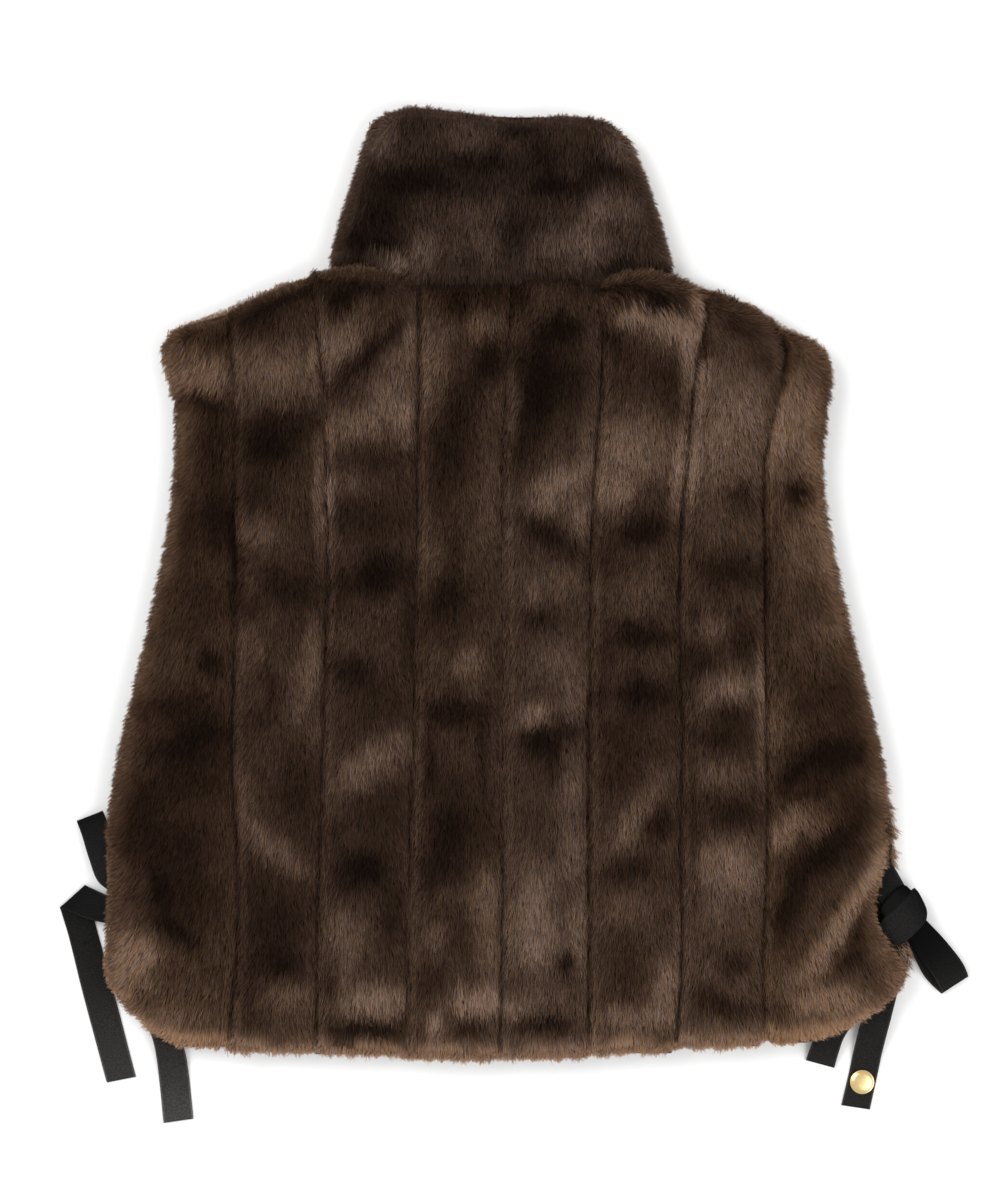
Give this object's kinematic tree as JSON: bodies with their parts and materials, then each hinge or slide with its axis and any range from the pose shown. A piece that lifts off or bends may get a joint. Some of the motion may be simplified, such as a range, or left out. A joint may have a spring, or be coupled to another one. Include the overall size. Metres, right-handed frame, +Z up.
{
  "type": "fur vest",
  "caption": "Sleeveless fur vest laid flat: lengthwise seamed strips, tall stand collar, open sides held by black ribbon ties.",
  "frame": {"origin": "on the surface it lies on, under the middle of its outline seen from above", "axes": "+Z up from the surface, +Y from the hem towards the collar, +X to the right as seen from above with the collar away from the viewer"},
  "size_m": [0.6407, 0.715, 0.0297],
  "materials": {
    "fur_pile": "soft pile, dark brown",
    "front_pile": "soft pile, dark brown, plain",
    "ribbon": "ribbed black ribbon",
    "stud_metal": "polished, gold-coloured"
  },
  "bodies": {
    "root": {"back_strip_1": "fur_pile", "back_strip_2": "fur_pile", "back_strip_3": "fur_pile", "back_strip_4": "fur_pile", "back_strip_5": "fur_pile", "back_strip_6": "fur_pile", "back_strip_7": "fur_pile", "back_strip_8": "fur_pile", "collar_back": "fur_pile", "front_left": "front_pile", "front_right": "front_pile", "collar_front_left": "front_pile", "collar_front_right": "front_pile", "tie_left_loop": "ribbon", "tie_left_knot": "ribbon", "tie_left_tail_folded": "ribbon", "tie_left_tail_short": "ribbon", "tie_right_anchor": "ribbon", "tie_right_knot": "ribbon", "tie_right_loop": "ribbon", "tie_right_tail_short": "ribbon", "tie_right_tail_studded": "ribbon", "tie_stud": "stud_metal"}
  },
  "joints": []
}
